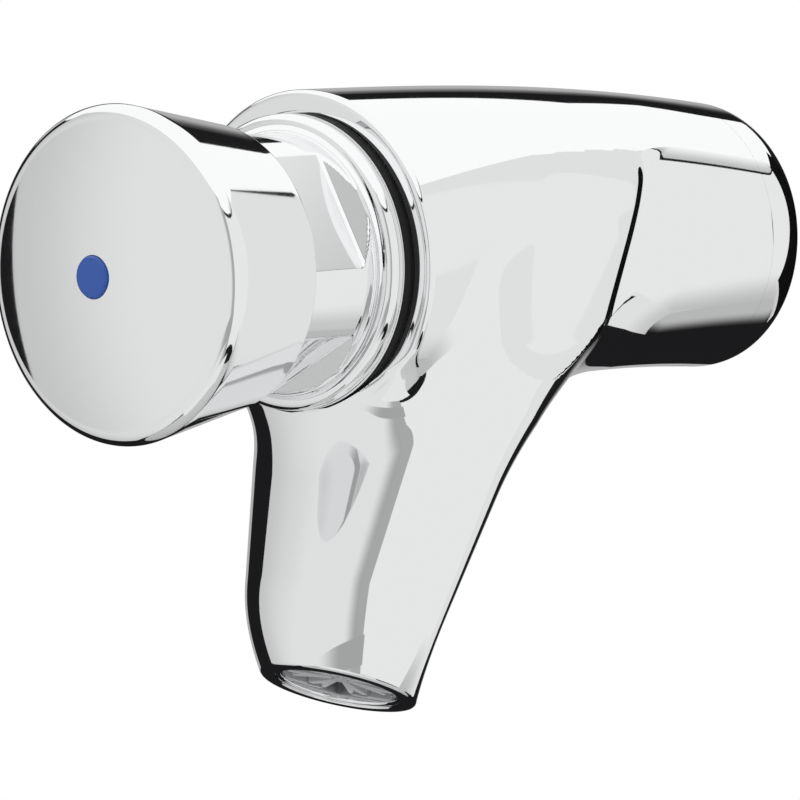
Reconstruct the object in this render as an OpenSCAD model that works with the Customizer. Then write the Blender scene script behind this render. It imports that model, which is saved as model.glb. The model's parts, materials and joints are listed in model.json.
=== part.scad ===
// Push timed tap for a wall outlet, all sizes in millimetres.
// The wall plane is Y = 0, the button faces -Y and +Z is up.
// "reach" below means the distance from the wall plane towards the button.

/* [Body] */
// Wall plane to the front face of the body
body_len = 94; // [90:0.5:100]
// Radius of the body's front face
rim_r = 25.5; // [24.8:0.1:27]
// Rounding of the front and wall edges
edge_round = 0.4; // [0.3:0.1:0.8]
// Fall of the body's top from the front to the wall
top_fall = 4.8; // [4:0.1:5.2]
// Rise of the body's underside behind the spout
belly_rise = 4.9; // [4:0.1:5.2]
// Half width of the body at its waist
waist_r = 19.1; // [18.6:0.1:20.5]

/* [Spout] */
// Centre of the outlet below the button axis
outlet_drop = 65.1; // [61:0.5:70]
// Outlet centre behind the body's front face
outlet_back = 1.6; // [0.8:0.1:2.6]
// Forward lean of the spout
spout_lean = 23.6; // [22:0.1:25]
// Radius of the spout at its outlet
spout_r = 12; // [11.7:0.1:12.6]
// Growth of the spout's half width for each millimetre upwards
side_growth = 0.187; // [0.17:0.001:0.2]
// Growth of its front half for each millimetre upwards
front_growth = 0.092; // [0.08:0.001:0.1]
// Growth of its back half for each millimetre upwards
back_growth = 0.174; // [0.16:0.001:0.19]

/* [Bonnet] */
// Radius of the round part that the button slides over
bonnet_r = 19.6; // [19.3:0.1:20]
// Distance across opposite wrench flats
flats_across = 34; // [33:0.1:35]
// Turn of the wrench flats about the button axis
flats_turn = 25; // [0:1:89]
// Radius of the flange
flange_r = 22.4; // [22:0.1:22.6]
// Thickness of the flange
flange_t = 3.2; // [2.8:0.1:3.6]
// Thickness of the black seal under the flange
seal_t = 2.2; // [1.8:0.1:2.6]
// Depth of the seal's recess in the body
seal_recess = 0.5; // [0.3:0.1:0.8]

/* [Button] */
// Radius of the button at its widest
button_r = 25; // [24.5:0.1:27]
// Length of the sloped side of the button
button_side = 19.1; // [18:0.1:21]
// Thickness of the skirt at its open end
skirt_t = 1.6; // [1.2:0.1:1.8]
// Radius of the domed face
dome_r = 80; // [70:1:110]
// Rounding between the dome and the side
button_round = 2.2; // [1.6:0.1:2.6]
// Travel of the button
push_travel = 8; // [6:0.5:9]
// Radius of the blue marker
marker_r = 3.1; // [2.9:0.1:3.4]
// How far the marker stands proud of the dome
marker_proud = 0.6; // [0.3:0.1:0.9]

/* [Valve] */
// Radius of the stem in its bush
stem_r = 5; // [4.8:0.1:5.2]
// Radius of the timing cylinder inside the bonnet
timing_r = 12.5; // [12.2:0.1:12.8]
// Radius of the hole in the valve seat
seat_hole_r = 6.5; // [6:0.1:7]
// Radius of the return spring to the wire's middle
spring_r = 9.3; // [9.1:0.1:9.5]
// Radius of the spring wire
wire_r = 0.8; // [0.7:0.05:0.9]
// Number of curls in the spring
curls = 7; // [6:1:8]

/* [Inlet and outlet] */
// Outside radius of the G 1/2 inlet thread
inlet_r = 10.48; // [10.48:0.01:10.5]
// Length of the inlet thread behind the wall plane
inlet_len = 14; // [12:0.5:18]
// Bore of the inlet
inlet_bore_r = 7; // [6.6:0.1:7.2]
// Radius of the socket in the outlet
outlet_socket_r = 9.8; // [9.5:0.1:9.9]
// Number of arms in the star insert
star_arms = 8; // [6:1:10]

/* [Fits] */
// Radial gap of pressed and screwed pieces
seat_gap = 0.02; // [0.01:0.01:0.04]
// Radial gap of sliding pieces
slide_gap = 0.05; // [0.04:0.01:0.1]

/* [Hidden] */
$fn = 96;
lean_s = sin(spout_lean);
lean_c = cos(spout_lean);
body_h = rim_r + edge_round;
seal_rear = body_len - seal_recess;
flange_rear = seal_rear + seal_t;
flange_front = flange_rear + flange_t;
flats_rear = flange_front + 0.7;
bonnet_front = body_len + 21.5;
thread_r = bonnet_r - 1.6;
thread_rear = body_len - 14;
web_rear = body_len + 1.2;
bush_r = stem_r + 3;
ring_rear = web_rear + 6;
bush_rear = ring_rear + 3.4;
clip_rear = bush_rear + 8.4;
skirt_out_r = timing_r + 2;
chamber_r = timing_r + 4;
skirt_rear = body_len - 27;
button_in_r = bonnet_r + 0.4;
button_rear_r = button_in_r + skirt_t;
button_rear = body_len + 19.9;
button_wide = button_rear + button_side;
dome_edge_r = button_r - button_round;
dome_sag = dome_r - sqrt(dome_r * dome_r - dome_edge_r * dome_edge_r);
dome_edge = button_wide + button_round;
button_top = dome_edge + dome_sag;
hub_rear = bonnet_front + push_travel + 1.5;
screw_seat = button_top - 5;
seat_front = body_len - 40.5;
web_front = seat_front - 2.5;
web_back = web_front - 5.5;
seat_r = seat_hole_r + 3;
lip_rear = web_back - 1;
valve_front = lip_rear - 0.05;
washer_t = 3;
carrier_t = 6;
valve_r = seat_r + 0.5;
nut_t = 3;
valve_rear = valve_front - carrier_t;
stem_rear = valve_rear - nut_t - 1;
valve_space_r = valve_r + 3;
valve_space_rear = valve_rear - push_travel - 1;
piston_front = web_rear - 3;
piston_len = 12;
piston_rear = piston_front - piston_len;
piston_r = timing_r - 0.3;
spring_front = piston_rear + 2.5;
spring_in_r = (spring_r - wire_r) * cos(22.5) - 0.4;
rod_r = stem_r - 1.5;
neck_r = stem_r - 1;
clip_t = 1.2;
socket_len = 14;
star_r = outlet_socket_r - 0.9;
star_front = 1.6;
star_t = 5;
ring_front = 0.3;
ring_t = 7.6;
disc_t = 2.6;
washer_out_t = 1.6;
socket_deep = ring_front + ring_t + disc_t + washer_out_t + 0.15;
passage_r = outlet_socket_r - 2.6;

// Turned shapes are drawn as radius and reach, then turned to face the button's way.
module turned(points) rotate([90, 0, 0]) rotate_extrude() polygon(points);

module rod(r, from, to) translate([0, -from, 0]) rotate([90, 0, 0]) cylinder(h = to - from, r = r);

module ring(inner, outer, from, to) turned([[inner, from], [outer, from], [outer, to], [inner, to]]);

// Pieces in the outlet stand on the spout's own axis, with the outlet plane at height 0.
module on_spout() translate([0, -(body_len - outlet_back), -outlet_drop])
    rotate([-spout_lean, 0, 0]) children();

// Body of one smooth surface from the front face to the wall
function soft_max(a, b, k) = max(a, b) + pow(max(k - abs(a - b), 0), 2) / (4 * k);
function back_share(d) = d / body_len;
function edge_cut(d) = let (e = min(d, body_len - d), w = 2.5 * edge_round)
    e < w ? edge_round * pow(1 - e / w, 2) : 0;
function top_h(d) = body_h - top_fall * pow(back_share(d), 2.6) - edge_cut(d);
function ease(v) = let (x = min(max(v, 0), 1)) x * x * (3 - 2 * x);
function belly_h(d) = body_h - belly_rise * ease(back_share(d) / 0.7)
    + 1.2 * pow(max(back_share(d) - 0.7, 0) / 0.3, 2) - edge_cut(d);
function half_w(d) = let (
    front = body_h - (body_h - waist_r) * d / (0.585 * body_len),
    tail = (body_h - top_fall - waist_r + 1.1) * pow(max(back_share(d) - 0.425, 0) / 0.575, 1.5),
    rear = waist_r - 0.5 + tail)
    soft_max(front, rear, 1.2) - edge_cut(d);
function squareness(d) = 2 + 0.25 * sin(180 * back_share(d));
function power(v, n) = sign(v) * pow(abs(v), 2 / n);
body_cuts = [0, 0.08, 0.2, 0.4, 0.65, 1, 1.6, 5, 12, 20, 28, 36, 44, 50, 54, 57, 60, 65, 71,
    77, 83, 88, 92.4, 93, 93.4, 93.7, 94];
body_sides = 72;
body_points = [for (c = body_cuts, i = [0 : body_sides - 1]) let (
    d = c * body_len / 94, n = squareness(d), a = 360 * i / body_sides,
    h = sin(a) > 0 ? top_h(d) : belly_h(d))
    [half_w(d) * power(cos(a), n), d - body_len, h * power(sin(a), n)]];

// Spout as cuts square to its own axis, from the outlet up into the body
function bump(h, reach) = h < reach ? pow(1 - h / reach, 2) : 0;
function swell(h) = 1 - bump(h, 13);
function spout_w(h) = spout_r + side_growth * min(h, 46) + 1.8 * swell(h)
    - (h > 52 ? 2.4 * pow((h - 52) / 14, 2) : 0);
function spout_front(h) = spout_r + front_growth * min(h, 46) + 3.2 * swell(h);
function spout_back(h) = spout_r + back_growth * h - 6 * swell(h)
    + (h > 36.3 ? 24.2 * pow((h - 36.3) / 29.3, 2) : 0);
spout_cuts = [0, 0.8, 2, 3.6, 5.4, 7.5, 10, 13, 17, 22, 27, 32, 37, 42, 46, 50, 53.5, 57, 60, 62.5, 64.5, 66];
spout_sides = 56;
spout_points = [for (h = spout_cuts, i = [0 : spout_sides - 1]) let (
    a = 360 * i / spout_sides, n = 2 + 0.4 * swell(h),
    half = sin(a) > 0 ? spout_back(h) : spout_front(h))
    [spout_w(h) * power(cos(a), n), half * power(sin(a), n), h * outlet_drop / 65.1]];

function skin(rows, cols) = concat(
    [[for (i = [0 : cols - 1]) i]],
    [for (j = [0 : rows - 2], i = [0 : cols - 1]) let (k = (i + 1) % cols)
        [j * cols + i, (j + 1) * cols + i, (j + 1) * cols + k]],
    [for (j = [0 : rows - 2], i = [0 : cols - 1]) let (k = (i + 1) % cols)
        [j * cols + i, (j + 1) * cols + k, j * cols + k]],
    [[for (i = [cols - 1 : -1 : 0]) (rows - 1) * cols + i]]);
function turned_over(faces) = [for (f = faces) [for (i = [len(f) - 1 : -1 : 0]) f[i]]];

module body() color("gainsboro") difference() {
    union() {
        polyhedron(body_points, turned_over(skin(len(body_cuts), body_sides)));
        on_spout() polyhedron(spout_points, skin(len(spout_cuts), spout_sides));
    }
    rod(inlet_r + seat_gap, -1, socket_len);
    rod(inlet_bore_r + 0.5, socket_len - 1, valve_space_rear + 1);
    rod(valve_space_r, valve_space_rear, web_back);
    rod(seat_r, web_back - 1, web_front + 1);
    rod(chamber_r, web_front, thread_rear + 1);
    rod(thread_r + seat_gap, thread_rear, body_len + 1);
    rod(flange_r + 0.3, seal_rear, body_len + 12);
    on_spout() translate([0, 0, socket_deep - 1]) cylinder(h = 44, r = passage_r);
    on_spout() translate([0, 0, -8]) cylinder(h = socket_deep + 8, r = outlet_socket_r);
}

module inlet_nipple() color("darkgoldenrod") turned([
    [inlet_bore_r, -inlet_len + 6], [inlet_bore_r + 0.8, -inlet_len + 6],
    [inlet_bore_r + 0.8, -inlet_len], [inlet_r - 1, -inlet_len],
    [inlet_r, -inlet_len + 1], [inlet_r, 0], [inlet_r - 0.8, 0], [inlet_r - 0.8, 1.2],
    [inlet_r, 1.2], [inlet_r, socket_len - 3], [inlet_r - 1, socket_len - 2],
    [inlet_bore_r, socket_len - 2]]);

module nipple_seal() color("dimgray")
    ring(inlet_bore_r + 0.6, inlet_r - 0.1, socket_len - 2, socket_len);

module inlet_strainer() color("silver") difference() {
    union() {
        ring(inlet_bore_r - 0.4, inlet_bore_r + 0.8 - seat_gap, -inlet_len + 0.6, -inlet_len + 6);
        rod(inlet_bore_r - 0.2, -inlet_len + 5, -inlet_len + 6);
    }
    rod(0.7, -inlet_len, -inlet_len + 8);
    for (i = [0 : 5]) rotate([0, i * 60, 0]) translate([2.5, 0, 0]) rod(0.7, -inlet_len, -inlet_len + 8);
    for (i = [0 : 11]) rotate([0, i * 30, 0]) translate([5, 0, 0]) rod(0.7, -inlet_len, -inlet_len + 8);
}

module valve_seat() color("peru") turned([
    [seat_hole_r, lip_rear + 0.4], [seat_hole_r + 0.4, lip_rear], [seat_hole_r + 1.2, lip_rear],
    [seat_hole_r + 1.6, lip_rear + 0.8], [seat_r - seat_gap, lip_rear + 0.8],
    [seat_r - seat_gap, web_back + 2], [seat_r - 1.3, web_back + 2],
    [seat_r - 1.3, web_back + 3.8], [seat_r - seat_gap, web_back + 3.8],
    [seat_r - seat_gap, web_front], [seat_r + 2, web_front], [seat_r + 2, seat_front],
    [seat_hole_r, seat_front]]);

module seat_o_ring() color("dimgray")
    ring(seat_r - 1.3 + seat_gap, seat_r - 0.04, web_back + 2.1, web_back + 3.7);

module valve_washer() color("dimgray")
    ring(rod_r, valve_r - 1, valve_front - washer_t, valve_front);

module valve_carrier() color("peru") turned([
    [rod_r - 1 + seat_gap, valve_rear], [valve_r - 1, valve_rear],
    [valve_r, valve_rear + 1], [valve_r, valve_front - 0.6],
    [valve_r - 1 + seat_gap, valve_front - 0.6], [valve_r - 1 + seat_gap, valve_front - washer_t],
    [rod_r - 1 + seat_gap, valve_front - washer_t]]);

module valve_nut() color("silver") difference() {
    translate([0, -(valve_rear - nut_t), 0]) rotate([90, 0, 0]) cylinder(h = nut_t, r = 4.6, $fn = 6);
    rod(rod_r - 1 + seat_gap, valve_rear - nut_t - 1, valve_rear + 1);
}

module stem() color("tan") difference() {
    turned([
        [0, stem_rear], [rod_r - 1.4, stem_rear], [rod_r - 1, stem_rear + 0.4],
        [rod_r - 1, valve_front - washer_t], [rod_r - seat_gap, valve_front - washer_t],
        [rod_r - seat_gap, piston_rear - clip_t - 0.1], [rod_r - 0.6, piston_rear - clip_t - 0.1],
        [rod_r - 0.6, piston_rear], [neck_r, piston_rear],
        [neck_r, piston_front], [stem_r, piston_front], [stem_r, hub_rear],
        [neck_r, hub_rear], [neck_r, hub_rear + 5.6], [neck_r - 0.4, hub_rear + 6],
        [0, hub_rear + 6]]);
    rod(2 + seat_gap, hub_rear - 4, hub_rear + 7);
}

module piston() color("ivory") difference() {
    turned([
        [neck_r + seat_gap, piston_rear], [spring_in_r, piston_rear],
        [spring_in_r, spring_front], [spring_r + wire_r + 0.5, spring_front],
        [spring_r + wire_r + 0.5, piston_rear], [piston_r, piston_rear],
        [piston_r, piston_rear + 4.5], [piston_r - 2.4, piston_rear + 4.5],
        [piston_r - 2.4, piston_rear + 9], [piston_r, piston_rear + 9],
        [piston_r, piston_front - 0.6], [piston_r - 0.6, piston_front],
        [neck_r + seat_gap, piston_front]]);
    translate([6.9, 0, 0]) rod(1.3 + seat_gap, piston_front - 4.5, piston_front + 1);
    translate([6.9, 0, 0]) rod(0.4, piston_rear - 1, piston_front);
}

module piston_seal() color("dimgray") turned([
    [piston_r - 2.4 + seat_gap, piston_rear + 4.6], [piston_r - 0.6, piston_rear + 4.6],
    [timing_r - slide_gap, piston_rear + 7.4], [timing_r - slide_gap, piston_rear + 8.8],
    [timing_r - 0.9, piston_rear + 8.8], [piston_r - 1.5, piston_rear + 6.6],
    [piston_r - 2.4 + seat_gap, piston_rear + 6.6]]);

module piston_clip() color("silver") difference() {
    ring(rod_r - 0.6 + seat_gap, rod_r + 2.2, piston_rear - clip_t, piston_rear);
    translate([0, -piston_rear + clip_t / 2, -rod_r - 1]) cube([2.4, 3 * clip_t, 5], center = true);
}

module timing_jet() color("peru") translate([6.9, 0, 0]) difference() {
    rod(1.3, piston_front - 4.4, piston_front - 0.1);
    rod(0.35, piston_front - 6, piston_front + 1);
    translate([0, -piston_front, 0]) cube([0.5, 1.2, 4], center = true);
}

// Spring as one unbroken tube of six sides, eight rings a curl
spring_from = seat_front + wire_r;
spring_to = spring_front - wire_r;
spring_rings = 8 * curls;
spring_points = [for (i = [0 : spring_rings], k = [0 : 5]) let (
    a = 45 * i, b = 60 * k, r = spring_r + wire_r * cos(b),
    z = spring_from + (spring_to - spring_from) * i / spring_rings + wire_r * sin(b))
    [r * cos(a), r * sin(a), z]];
spring_gap = (spring_to - spring_from - push_travel) / curls - 2 * wire_r;
echo(least_gap_between_curls_when_pushed = spring_gap);

module return_spring() color("silver") rotate([90, 0, 0])
    polyhedron(spring_points, turned_over(skin(spring_rings + 1, 6)));

module bonnet() color("gainsboro") difference() {
    turned([
        [timing_r, skirt_rear + 0.5], [timing_r + 0.5, skirt_rear], [skirt_out_r, skirt_rear],
        [skirt_out_r, thread_rear + 1], [thread_r - 1, thread_rear + 1],
        [thread_r, thread_rear + 2], [thread_r, flange_rear], [flange_r, flange_rear],
        [flange_r, flange_rear + 1.6], [flange_r - 0.15, flange_rear + 2.1],
        [flange_r - 0.6, flange_rear + 2.6], [flange_r - 1.4, flange_front - 0.2],
        [bonnet_r, flange_front], [bonnet_r, bonnet_front - 1], [bonnet_r - 1, bonnet_front],
        [bush_r, bonnet_front], [bush_r, clip_rear + 1.3], [bush_r + 0.8, clip_rear + 1.3],
        [bush_r + 0.8, clip_rear], [bush_r, clip_rear], [bush_r, ring_rear],
        [stem_r + 0.3, ring_rear], [stem_r + 0.3, web_rear], [timing_r, web_rear]]);
    for (i = [0 : 3]) rotate([0, -flats_turn - 90 * i, 0]) {
        translate([flats_across / 2, -bonnet_front - 5, -20])
            cube([10, bonnet_front + 5 - flats_rear, 40]);
    }
    for (i = [0 : 3]) rotate([0, -flats_turn - 90 * i, 0])
        translate([flats_across / 2, -flats_rear, 0]) rotate([0, 0, 45])
            cube([1.6, 1.6, 40], center = true);
}

module bonnet_seal() color("black") ring(thread_r + 0.25, flange_r, seal_rear, flange_rear);

module stem_bush() color("ivory") turned([
    [stem_r + slide_gap, bush_rear], [bush_r - seat_gap, bush_rear],
    [bush_r - seat_gap, clip_rear], [stem_r + slide_gap + 0.5, clip_rear],
    [stem_r + slide_gap, clip_rear - 0.5]]);

module stem_o_ring() color("dimgray")
    ring(stem_r + slide_gap, bush_r - seat_gap, ring_rear + 0.3, bush_rear - 0.1);

module bush_clip() color("silver") difference() {
    ring(bush_r - 1.2, bush_r + 0.7, clip_rear + 0.05, clip_rear + 1.25);
    translate([0, -clip_rear - 0.6, -bush_r]) cube([3, 4, 5], center = true);
}

dome_steps = 10;
round_steps = 6;
function dome_at(r) = button_top - dome_r + sqrt(dome_r * dome_r - r * r);
module button() color("gainsboro") difference() {
    turned(concat(
        [for (i = [0 : dome_steps]) let (r = dome_edge_r * i / dome_steps) [r, dome_at(r)]],
        [for (i = [1 : round_steps]) let (a = 90 - 90 * i / round_steps)
            [dome_edge_r + button_round * cos(a), button_wide + button_round * sin(a)]],
        [[button_rear_r + 0.2, button_rear + 0.7], [button_rear_r - 0.4, button_rear],
        [button_in_r, button_rear], [button_r - 3, button_wide], [neck_r + 9, button_wide + 0.5],
        [neck_r + 4, screw_seat - 1.2], [neck_r + 4, hub_rear], [neck_r + seat_gap, hub_rear],
        [neck_r + seat_gap, hub_rear + 6.2], [0, hub_rear + 6.2]]));
    rod(marker_r + seat_gap, screw_seat, button_top + 1);
    rod(2.2, hub_rear, button_top);
}

module button_screw() color("silver") difference() {
    union() {
        rod(2, hub_rear - 3, screw_seat + 0.5);
        rod(marker_r - 0.2, screw_seat, screw_seat + 2.4);
    }
    translate([0, -screw_seat - 1.2, 0]) rotate([90, 0, 0]) cylinder(h = 3, r = 1.45, $fn = 6);
}

module marker() color("royalblue") turned([
    [0, screw_seat + 2.6], [marker_r, screw_seat + 2.6],
    [marker_r, button_top + marker_proud - 0.35], [marker_r - 0.1, button_top + marker_proud - 0.1],
    [marker_r - 0.4, button_top + marker_proud], [0, button_top + marker_proud]]);

module outlet_tube(inner, outer, from, to) on_spout() rotate_extrude()
    polygon([[inner, from], [outer, from], [outer, to], [inner, to]]);

module outlet_ring() color("silver") on_spout() rotate_extrude() polygon([
    [star_r, ring_front + 0.4], [star_r + 0.4, ring_front],
    [outlet_socket_r - seat_gap - 0.3, ring_front], [outlet_socket_r - seat_gap, ring_front + 0.3],
    [outlet_socket_r - seat_gap, ring_front + ring_t],
    [star_r - 1.2, ring_front + ring_t], [star_r - 1.2, star_front + star_t],
    [star_r, star_front + star_t]]);

module flow_straightener() color("darkgray") on_spout() {
    translate([0, 0, star_front + 1.6]) difference() {
        cylinder(h = star_t - 1.6, r = star_r - seat_gap);
        translate([0, 0, -1]) cylinder(h = star_t + 2, r = star_r - 0.9);
    }
    translate([0, 0, star_front]) cylinder(h = star_t, r = 1.7);
    for (i = [0 : star_arms - 1]) rotate(i * 360 / star_arms + 22.5) translate([0, 0, star_front])
        linear_extrude(star_t) polygon([[1, -0.35], [star_r - 0.6, -1.5], [star_r - 0.6, -0.8],
            [star_r - 2.6, 0], [star_r - 0.6, 0.8], [star_r - 0.6, 1.5], [1, 0.35]]);
}

module flow_regulator() color("ivory") on_spout()
    translate([0, 0, ring_front + ring_t]) difference() {
        cylinder(h = disc_t, r = outlet_socket_r - seat_gap - 0.1);
        for (i = [0 : 5]) rotate(i * 60) translate([4.6, 0, -1]) cylinder(h = disc_t + 2, r = 1.1);
        translate([0, 0, -1]) cylinder(h = disc_t + 2, r = 1.1);
    }

module outlet_washer() color("dimgray")
    outlet_tube(passage_r + 0.2, outlet_socket_r - 0.1, ring_front + ring_t + disc_t, socket_deep);

body();
inlet_nipple();
nipple_seal();
inlet_strainer();
valve_seat();
seat_o_ring();
valve_washer();
valve_carrier();
valve_nut();
stem();
piston();
piston_seal();
piston_clip();
timing_jet();
return_spring();
bonnet();
bonnet_seal();
stem_bush();
stem_o_ring();
bush_clip();
button();
button_screw();
marker();
outlet_ring();
flow_straightener();
flow_regulator();
outlet_washer();
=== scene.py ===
import json
import math
import bpy
import numpy as np
from mathutils import Matrix


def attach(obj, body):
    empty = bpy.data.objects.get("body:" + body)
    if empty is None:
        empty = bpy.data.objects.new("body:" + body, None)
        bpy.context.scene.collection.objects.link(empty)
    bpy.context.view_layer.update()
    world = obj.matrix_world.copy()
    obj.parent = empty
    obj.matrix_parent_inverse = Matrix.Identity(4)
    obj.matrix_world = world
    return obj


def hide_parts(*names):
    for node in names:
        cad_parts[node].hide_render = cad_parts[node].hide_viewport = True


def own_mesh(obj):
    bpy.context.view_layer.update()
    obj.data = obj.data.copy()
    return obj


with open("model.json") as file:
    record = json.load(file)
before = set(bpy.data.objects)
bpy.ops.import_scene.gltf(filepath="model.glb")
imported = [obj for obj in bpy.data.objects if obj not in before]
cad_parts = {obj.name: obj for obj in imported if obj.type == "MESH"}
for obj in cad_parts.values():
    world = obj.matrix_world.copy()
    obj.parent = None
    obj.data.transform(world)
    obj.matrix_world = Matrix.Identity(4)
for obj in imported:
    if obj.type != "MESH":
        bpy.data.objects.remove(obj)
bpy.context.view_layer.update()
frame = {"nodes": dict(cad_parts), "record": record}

print("frame loaded", len(frame["nodes"]), "nodes")

# The tap's sizes are in millimetres, while all meshes and the studio round it are in metres
mm = 0.001


# Small helpers for node materials
def addNode(tree, kind, **values):
    node = tree.nodes.new(kind)
    for name, value in values.items():
        if hasattr(node, name):
            setattr(node, name, value)
        else:
            node.inputs[name].default_value = value
    return node


def newMaterial(name):
    mat = bpy.data.materials.new(name)
    mat.use_nodes = True
    tree = mat.node_tree
    return mat, tree, tree.nodes["Principled BSDF"]


def objectNoise(tree, scale, detail):
    coord = addNode(tree, "ShaderNodeTexCoord")
    noise = addNode(tree, "ShaderNodeTexNoise", Scale=scale, Detail=detail)
    tree.links.new(coord.outputs["Object"], noise.inputs["Vector"])
    return noise.outputs["Fac"]


def noiseChain(tree, scale, detail, low, high, target):
    spread = addNode(tree, "ShaderNodeMapRange")
    spread.inputs["To Min"].default_value = low
    spread.inputs["To Max"].default_value = high
    tree.links.new(objectNoise(tree, scale, detail), spread.inputs["Value"])
    tree.links.new(spread.outputs["Result"], target)


def bumpChain(tree, shader, scale, detail, strength, distance):
    bump = addNode(tree, "ShaderNodeBump", Strength=strength, Distance=distance)
    tree.links.new(objectNoise(tree, scale, detail), bump.inputs["Height"])
    tree.links.new(bump.outputs["Normal"], shader.inputs["Normal"])


def metalMaterial(name, colour, low, high, grain, ripple):
    mat, tree, shader = newMaterial(name)
    shader.inputs["Base Color"].default_value = (*colour, 1)
    shader.inputs["Metallic"].default_value = 1
    noiseChain(tree, grain, 3, low, high, shader.inputs["Roughness"])
    if ripple:
        bumpChain(tree, shader, scale=90, detail=1, strength=ripple, distance=0.0002)
    return mat


def plainMaterial(name, colour, low, high, grain, ripple, coat=0):
    mat, tree, shader = newMaterial(name)
    shader.inputs["Base Color"].default_value = (*colour, 1)
    shader.inputs["Coat Weight"].default_value = coat
    noiseChain(tree, grain, 4, low, high, shader.inputs["Roughness"])
    if ripple:
        bumpChain(tree, shader, scale=grain * 3, detail=2, strength=ripple, distance=0.0001)
    return mat


bodyChrome = metalMaterial("bodyChrome", (0.9, 0.905, 0.91), 0.02, 0.05, 260, 0.0)
headChrome = metalMaterial("headChrome", (0.9, 0.905, 0.91), 0.03, 0.07, 340, 0.0)
brassMetal = metalMaterial("brassMetal", (0.68, 0.47, 0.2), 0.22, 0.38, 500, 0.08)
drawnSteel = metalMaterial("drawnSteel", (0.55, 0.56, 0.57), 0.25, 0.42, 600, 0.08)
blackRubber = plainMaterial("blackRubber", (0.012, 0.012, 0.013), 0.45, 0.62, 700, 0.15)
blackRubber.node_tree.nodes["Principled BSDF"].inputs["Specular IOR Level"].default_value = 0.18
whiteAcetal = plainMaterial("whiteAcetal", (0.8, 0.79, 0.75), 0.4, 0.52, 500, 0.1)
greyAcetal = plainMaterial("greyAcetal", (0.56, 0.57, 0.58), 0.38, 0.5, 500, 0.1)
bluePlastic = plainMaterial("bluePlastic", (0.016, 0.09, 0.43), 0.16, 0.26, 900, 0.08, 0.1)

paints = {
    "chrome_body": bodyChrome,
    "chrome_head": headChrome,
    "brass": brassMetal,
    "steel": drawnSteel,
    "black_rubber": blackRubber,
    "white_plastic": whiteAcetal,
    "grey_plastic": greyAcetal,
    "blue_plastic": bluePlastic,
}
for part in frame["record"]["subparts"]:
    mesh = frame["nodes"][part["node"]].data
    mesh.materials.clear()
    mesh.materials.append(paints[part["material_slot"]])


# Smooth meshes from plain lists of points and faces
def makeObject(name, points, faces, mat):
    mesh = bpy.data.meshes.new(name)
    places = [tuple(p) for p in np.asarray(points) * mm]
    mesh.from_pydata(places, [], [tuple(int(i) for i in f) for f in faces])
    mesh.polygons.foreach_set("use_smooth", [True] * len(mesh.polygons))
    mesh.materials.append(mat)
    mesh.update()
    obj = bpy.data.objects.new(name, mesh)
    bpy.context.scene.collection.objects.link(obj)
    return obj


# Rings of points are joined to a skin, and a ring written twice makes a sharp edge
def skinFaces(rows, count, start=0, flip=False):
    faces = []
    for j in range(rows - 1):
        for i in range(count):
            k = (i + 1) % count
            near, far = start + j * count, start + (j + 1) * count
            quad = (near + i, near + k, far + k, far + i)
            faces.append(quad[::-1] if flip else quad)
    return faces


# A turned piece: each stretch is a list of (radius, reach) and meets the next at a sharp edge
def turnedObject(name, stretches, count, mat, tip=0.0005):
    angle = np.linspace(0, 2 * np.pi, count, endpoint=False)
    points, faces = [], []
    for stretch in stretches:
        start = len(points)
        for radius, reach in stretch:
            wide = max(radius, tip)
            points += [(wide * math.cos(a), -reach, wide * math.sin(a)) for a in angle]
        faces += skinFaces(len(stretch), count, start)
    return makeObject(name, points, faces, mat)


# Stretches with a sharp edge at every corner of the outline
def sharpTurn(outline):
    return [[a, b] for a, b in zip(outline, outline[1:])]


def arcPoints(cx, cy, radius, fromDeg, toDeg, steps):
    turn = np.radians(np.linspace(fromDeg, toDeg, steps + 1))
    return [(cx + radius * math.cos(t), cy + radius * math.sin(t)) for t in turn]


# Body: two smooth forms, the barrel along Y and the leaning spout, joined with a soft fillet
bodySize = {
    "length": 94.0, "rim": 25.5, "edge": 0.4, "topFall": 4.8, "topCurve": 2.6, "bellyRise": 4.9,
    "bellyEnd": 0.5, "bellyFlare": 1.2, "flareStart": 0.7, "squareGain": 0.25, "cell": 0.765,
    "outletBack": 1.6, "outletDrop": 65.1, "lean": 23.6, "recess": 22.75, "wallDepth": 7.5,
    "lipHeight": 8.0, "sink": 0.012, "sinkOver": 0.8, "wallOverlap": 1.2, "lipOverlap": 1.4,
}
bodyHeight = bodySize["rim"] + bodySize["edge"]
leanSin = math.sin(math.radians(bodySize["lean"]))
leanCos = math.cos(math.radians(bodySize["lean"]))
outletY = -(bodySize["length"] - bodySize["outletBack"])
outletZ = -bodySize["outletDrop"]


def ease(v):
    x = np.clip(v, 0, 1)
    return x * x * (3 - 2 * x)


def softMin(a, b, k):
    return np.minimum(a, b) - np.maximum(k - np.abs(a - b), 0) ** 2 / (4 * k)


def softMax(a, b, k):
    return np.maximum(a, b) + np.maximum(k - np.abs(a - b), 0) ** 2 / (4 * k)


def barrelHeights(back):
    share = np.clip(back / bodySize["length"], 0, 1)
    top = bodyHeight - bodySize["topFall"] * share ** bodySize["topCurve"]
    flare = np.maximum(share - bodySize["flareStart"], 0) / (1 - bodySize["flareStart"])
    belly = bodyHeight - bodySize["bellyRise"] * ease(share / bodySize["bellyEnd"])
    belly = belly + bodySize["bellyFlare"] * flare ** 2
    return top, belly, 2 + bodySize["squareGain"] * np.sin(np.pi * share)


# The flank narrows from the rim, drops over a slanting seam and widens again to the wall
flankSize = {
    "waist": 18.6, "tubeStart": 0.425, "tubeCurve": 1.5, "wallWide": 23.7,
    "seamAt": 53.2, "seamSlant": 0.5, "seamLow": -20.0, "seamHigh": 14.0, "seamTop": 8.4, "seamFade": 6.0,
    "step": 0.75, "slope": 0.36, "reach": 26.0, "crease": 0.12, "blend": 1.6,
}


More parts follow.
